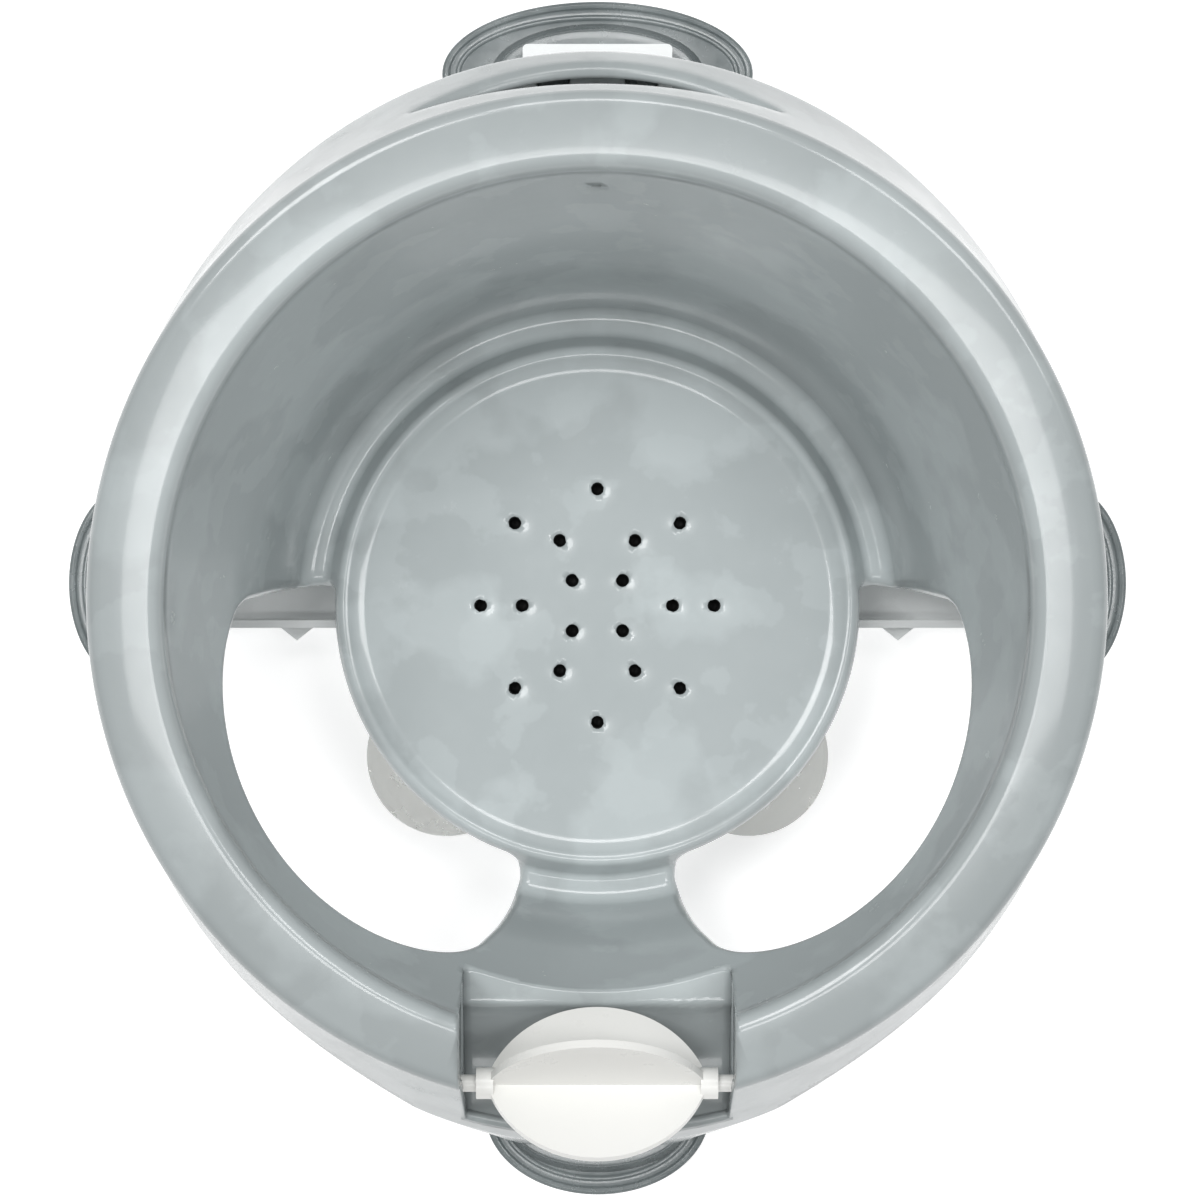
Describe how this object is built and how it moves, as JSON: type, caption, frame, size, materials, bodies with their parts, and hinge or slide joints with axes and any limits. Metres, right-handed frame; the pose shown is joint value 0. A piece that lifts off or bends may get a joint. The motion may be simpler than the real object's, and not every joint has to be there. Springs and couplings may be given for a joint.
{
  "type": "baby bath seat",
  "caption": "Moulded bath seat: round pan in a bowl with leg openings, hollow ring, flared skirt on suction cups, and a paddle wheel that turns in the ring.",
  "frame": {"origin": "middle of the footprint, on the floor plane that the outer suction cups' lips stand on", "axes": "+Z up; +Y towards the high back of the ring; +X to the right seen from above with +Y up; the paddle wheel is at -Y and its axle runs along X"},
  "size_m": [0.337, 0.3802, 0.2082],
  "materials": {
    "shell": "glossy moulded",
    "base": "satin moulded",
    "wheel": "satin moulded",
    "smoke_cup": "translucent soft vinyl",
    "milky_cup": "translucent soft vinyl",
    "screw": "plain"
  },
  "bodies": {
    "seat": {"seat_pan": "shell", "bowl_ring": "shell", "skirt": "shell", "base_frame": "base", "base_screws": "screw", "outer_cup_left": "smoke_cup", "outer_cup_right": "smoke_cup", "outer_cup_front": "smoke_cup", "outer_cup_rear": "smoke_cup", "inner_cup_rear_right": "milky_cup", "inner_cup_rear_left": "milky_cup", "inner_cup_front_left": "milky_cup", "inner_cup_front_right": "milky_cup"},
    "paddle_wheel": {"vane_plate_low": "wheel", "vane_plate_high": "wheel", "end_cap_left": "wheel", "end_cap_right": "wheel"}
  },
  "joints": [
    {"name": "wheel_spin", "type": "hinge", "parent": "seat", "child": "paddle_wheel", "pos_m": [0, -0.1351, 0.128], "axis": [1, 0, 0], "continuous": true}
  ]
}
